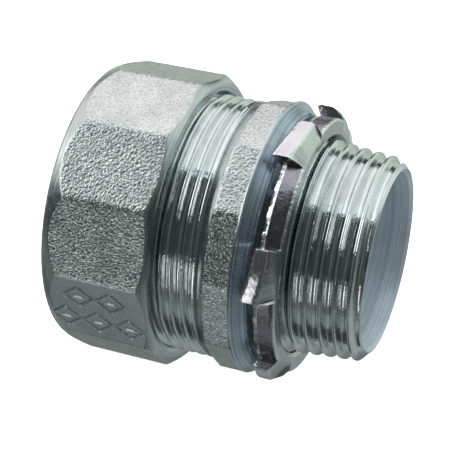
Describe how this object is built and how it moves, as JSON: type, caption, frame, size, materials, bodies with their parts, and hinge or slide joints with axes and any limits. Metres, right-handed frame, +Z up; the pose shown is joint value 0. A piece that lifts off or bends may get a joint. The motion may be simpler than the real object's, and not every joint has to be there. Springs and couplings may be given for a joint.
{
  "type": "conduit compression fitting",
  "caption": "Straight steel compression fitting that clamps a threadless rigid conduit in a twelve-sided gland nut and holds it in a knockout by a threaded hub and lugged locknut.",
  "frame": {"origin": "on the common axis, in the plane of the shoulder that bears on the enclosure wall", "axes": "+X along the common axis out of the threaded hub, -X towards the conduit, +Z up"},
  "size_m": [0.04, 0.038, 0.038],
  "materials": {
    "body_zinc": "bright zinc plate over turned and forged steel",
    "nut_zinc": "bright zinc plate over grainy forged steel",
    "ring_steel": "plated spring steel, turned",
    "locknut_zinc": "bright zinc plate over stamped steel with sheared edges"
  },
  "bodies": {
    "body": {"fitting_body": "body_zinc"},
    "ring": {"gland_ring": "ring_steel"},
    "nut": {"compression_nut": "nut_zinc"},
    "hub_locknut": {"locknut": "locknut_zinc"}
  },
  "joints": [
    {"name": "gland_travel", "type": "slide", "parent": "body", "child": "ring", "axis": [1, 0, 0], "range_m": [-0.0068, 0.0009]},
    {"name": "nut_turn", "type": "hinge", "parent": "ring", "child": "nut", "pos_m": [-0.018, 0, 0], "axis": [1, 0, 0], "range_deg": [-1620, 210]},
    {"name": "locknut_travel", "type": "slide", "parent": "body", "child": "hub_locknut", "axis": [1, 0, 0], "range_m": [0, 0.0105]}
  ],
  "couplings": [
    {"joint": "gland_travel", "follows": "nut_turn", "m_per_rad": 0.0002378}
  ]
}
